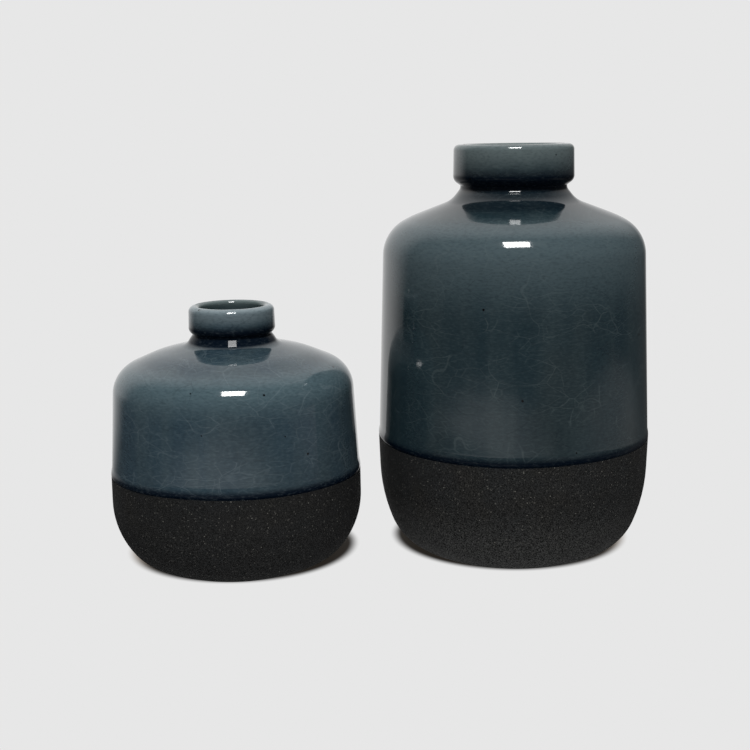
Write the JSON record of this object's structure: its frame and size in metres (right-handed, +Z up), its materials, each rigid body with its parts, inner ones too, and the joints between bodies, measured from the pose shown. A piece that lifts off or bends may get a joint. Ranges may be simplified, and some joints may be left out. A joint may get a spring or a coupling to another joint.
{
  "type": "flower vase set",
  "caption": "Matching tall and squat stoneware bottle vases with collared mouths, crackled blue-grey glaze above sandy black bases, made to hold cut flowers.",
  "frame": {"origin": "centre of the tall vase's foot, on the surface that both vases stand on", "axes": "+Z up along the tall vase's axis; +X to the right seen from the front, so the small vase stands towards -X; -Y towards the viewer"},
  "size_m": [0.317, 0.1739, 0.2405],
  "materials": {
    "clay": "bare fired stoneware, matte",
    "black_coat": "matte black sandy coat with fine pale specks",
    "blue_glaze": "glossy translucent blue-grey crackle glaze",
    "inside_glaze": "glossy blue-grey glaze"
  },
  "bodies": {
    "tall_vase": {"tall_bowl": "clay", "tall_wall": "clay", "tall_collar": "clay", "tall_base_coat": "black_coat", "tall_glaze": "blue_glaze", "tall_liner": "inside_glaze"},
    "small_vase": {"small_bowl": "clay", "small_wall": "clay", "small_collar": "clay", "small_base_coat": "black_coat", "small_glaze": "blue_glaze", "small_liner": "inside_glaze"}
  },
  "joints": [
    {"name": "small_vase_lift", "type": "slide", "parent": "tall_vase", "child": "small_vase", "axis": [0, 0, 1], "range_m": [0, 0.3]}
  ]
}
